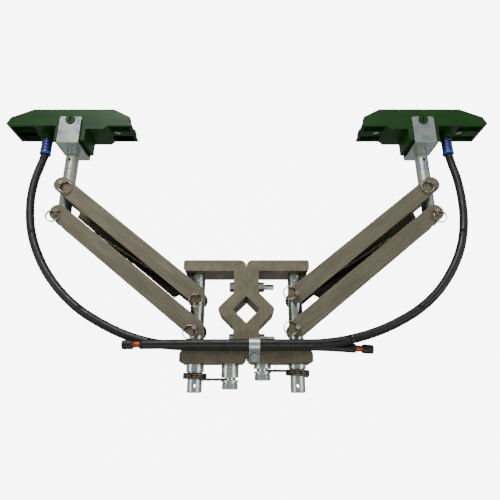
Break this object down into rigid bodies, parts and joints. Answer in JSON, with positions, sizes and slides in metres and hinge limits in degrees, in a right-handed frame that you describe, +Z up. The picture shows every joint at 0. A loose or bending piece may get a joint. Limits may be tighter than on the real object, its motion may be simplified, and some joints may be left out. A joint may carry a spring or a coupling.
{
  "type": "conductor rail current collector",
  "caption": "Tandem conductor-rail current collector: sprung parallel arms each side of a square-bar clamp, with channel-shaped collector heads and hanging cables.",
  "frame": {"origin": "centre of the square tow bar's hole, at mid-depth of the clamp", "axes": "+X along the conductor rail, +Y along the tow bar from front to rear, +Z up towards the rail"},
  "size_m": [0.7666, 0.0814, 0.4339],
  "materials": {
    "bracket_aluminium": "extruded, weathered to a dull olive grey",
    "arm_aluminium": "pressed channel, brushed along its length and weathered",
    "zinc_steel": "bright zinc plate with a faint green cast",
    "bright_zinc": "bright zinc plate",
    "pin_steel": "zinc plate, yellowed",
    "ring_steel": "drawn spring wire",
    "spring_steel": "oiled spring wire",
    "strap_steel": "galvanised strip",
    "bush_bronze": "sintered bronze",
    "spacer_nylon": "turned nylon",
    "green_plastic": "moulded, fine grain, dark green",
    "copper_graphite": "sintered copper and graphite, polished by the rail",
    "boot_rubber": "moulded, dark blue",
    "cable_jacket": "extruded, semi-matt black",
    "copper_strands": "bare stranded copper"
  },
  "bodies": {
    "root": {"clamp_bracket_left": "bracket_aluminium", "clamp_bracket_right": "bracket_aluminium", "clamp_bolts": "bright_zinc", "clamp_nuts": "bright_zinc", "anchor_bolts": "bright_zinc", "anchor_washers": "bright_zinc", "cable_strap": "strap_steel", "strap_screw": "bright_zinc", "cable_strands": "copper_strands", "cable_slugs": "cable_jacket", "post_bushes_left": "bush_bronze", "centring_spring_left": "spring_steel", "cable_left_tail": "cable_jacket", "post_bushes_right": "bush_bronze", "centring_spring_right": "spring_steel", "cable_right_tail": "cable_jacket"},
    "swing_post_left": {"base_post_left": "zinc_steel", "post_collars_left": "bright_zinc", "base_pins_left": "pin_steel", "base_rings_left": "ring_steel", "base_spacers_left": "spacer_nylon", "cable_left_lower": "cable_jacket"},
    "upper_link_left": {"upper_arm_left": "arm_aluminium", "lift_springs_left": "spring_steel", "cable_left_middle": "cable_jacket"},
    "spring_end_left": {"spring_hooks_left": "spring_steel"},
    "lower_link_left": {"lower_arm_left": "arm_aluminium"},
    "head_stem_left": {"head_post_left": "zinc_steel", "head_pins_left": "pin_steel", "head_rings_left": "ring_steel", "head_spacers_left": "spacer_nylon", "swivel_pin_left": "spring_steel", "cable_left_upper": "cable_jacket"},
    "head_swivel_left": {"shoe_bracket_left": "zinc_steel"},
    "head_left": {"collector_head_left": "green_plastic", "contact_shoe_left": "copper_graphite", "shoe_screws_left": "bright_zinc", "cable_boot_left": "boot_rubber"},
    "swing_post_right": {"base_post_right": "zinc_steel", "post_collars_right": "bright_zinc", "base_pins_right": "pin_steel", "base_rings_right": "ring_steel", "base_spacers_right": "spacer_nylon", "cable_right_lower": "cable_jacket"},
    "upper_link_right": {"upper_arm_right": "arm_aluminium", "lift_springs_right": "spring_steel", "cable_right_middle": "cable_jacket"},
    "spring_end_right": {"spring_hooks_right": "spring_steel"},
    "lower_link_right": {"lower_arm_right": "arm_aluminium"},
    "head_stem_right": {"head_post_right": "zinc_steel", "head_pins_right": "pin_steel", "head_rings_right": "ring_steel", "head_spacers_right": "spacer_nylon", "swivel_pin_right": "spring_steel", "cable_right_upper": "cable_jacket"},
    "head_swivel_right": {"shoe_bracket_right": "zinc_steel"},
    "head_right": {"collector_head_right": "green_plastic", "contact_shoe_right": "copper_graphite", "shoe_screws_right": "bright_zinc", "cable_boot_right": "boot_rubber"}
  },
  "joints": [
    {"name": "swing_left", "type": "hinge", "parent": "root", "child": "swing_post_left", "pos_m": [-0.0695, 0, 0], "axis": [0, 0, 1], "range_deg": [-10, 10], "stiffness_Nm_per_rad": 1.5, "deforming": ["centring_spring_left"]},
    {"name": "lift_left", "type": "hinge", "parent": "swing_post_left", "child": "upper_link_left", "pos_m": [-0.0695, 0, 0.0215], "axis": [0, 1, 0], "range_deg": [-58, 0], "stiffness_Nm_per_rad": 4, "springref_deg": 68.75, "deforming": ["lift_springs_left", "spring_hooks_left", "cable_left_upper", "cable_left_middle", "cable_left_lower", "cable_left_tail", "cable_strands", "cable_slugs"]},
    {"name": "lower_link_left", "type": "hinge", "parent": "swing_post_left", "child": "lower_link_left", "pos_m": [-0.0695, 0, -0.0245], "axis": [0, 1, 0], "range_deg": [-58, 0]},
    {"name": "head_level_left", "type": "hinge", "parent": "upper_link_left", "child": "head_stem_left", "pos_m": [-0.27933, 0, 0.19142], "axis": [0, 1, 0], "range_deg": [0, 58]},
    {"name": "spring_stretch_left", "type": "slide", "parent": "upper_link_left", "child": "spring_end_left", "axis": [-0.8746, 0, 0.4848], "range_m": [0, 0.0448]},
    {"name": "head_swivel_left", "type": "hinge", "parent": "head_stem_left", "child": "head_swivel_left", "pos_m": [-0.27933, 0, 0.25142], "axis": [0, 0, 1], "range_deg": [-20, 20]},
    {"name": "head_rock_left", "type": "hinge", "parent": "head_swivel_left", "child": "head_left", "pos_m": [-0.27933, 0, 0.30292], "axis": [0, 1, 0], "range_deg": [-8, 8]},
    {"name": "swing_right", "type": "hinge", "parent": "root", "child": "swing_post_right", "pos_m": [0.0695, 0, 0], "axis": [0, 0, 1], "range_deg": [-10, 10], "stiffness_Nm_per_rad": 1.5, "deforming": ["centring_spring_right"]},
    {"name": "lift_right", "type": "hinge", "parent": "swing_post_right", "child": "upper_link_right", "pos_m": [0.0695, 0, 0.0215], "axis": [0, -1, 0], "range_deg": [-58, 0], "stiffness_Nm_per_rad": 4, "springref_deg": 68.75, "deforming": ["lift_springs_right", "spring_hooks_right", "cable_right_upper", "cable_right_middle", "cable_right_lower", "cable_right_tail", "cable_strands", "cable_slugs"]},
    {"name": "lower_link_right", "type": "hinge", "parent": "swing_post_right", "child": "lower_link_right", "pos_m": [0.0695, 0, -0.0245], "axis": [0, -1, 0], "range_deg": [-58, 0]},
    {"name": "head_level_right", "type": "hinge", "parent": "upper_link_right", "child": "head_stem_right", "pos_m": [0.27933, 0, 0.19142], "axis": [0, -1, 0], "range_deg": [0, 58]},
    {"name": "spring_stretch_right", "type": "slide", "parent": "upper_link_right", "child": "spring_end_right", "axis": [0.8746, 0, 0.4848], "range_m": [0, 0.0448]},
    {"name": "head_swivel_right", "type": "hinge", "parent": "head_stem_right", "child": "head_swivel_right", "pos_m": [0.27933, 0, 0.25142], "axis": [0, 0, 1], "range_deg": [-20, 20]},
    {"name": "head_rock_right", "type": "hinge", "parent": "head_swivel_right", "child": "head_right", "pos_m": [0.27933, 0, 0.30292], "axis": [0, 1, 0], "range_deg": [-8, 8]}
  ],
  "couplings": [
    {"joint": "lower_link_left", "follows": "lift_left", "ratio": 1},
    {"joint": "head_level_left", "follows": "lift_left", "ratio": -1},
    {"joint": "spring_stretch_left", "follows": "lift_left", "m_per_rad": -0.04406},
    {"joint": "lower_link_right", "follows": "lift_right", "ratio": 1},
    {"joint": "head_level_right", "follows": "lift_right", "ratio": -1},
    {"joint": "spring_stretch_right", "follows": "lift_right", "m_per_rad": -0.04406}
  ]
}
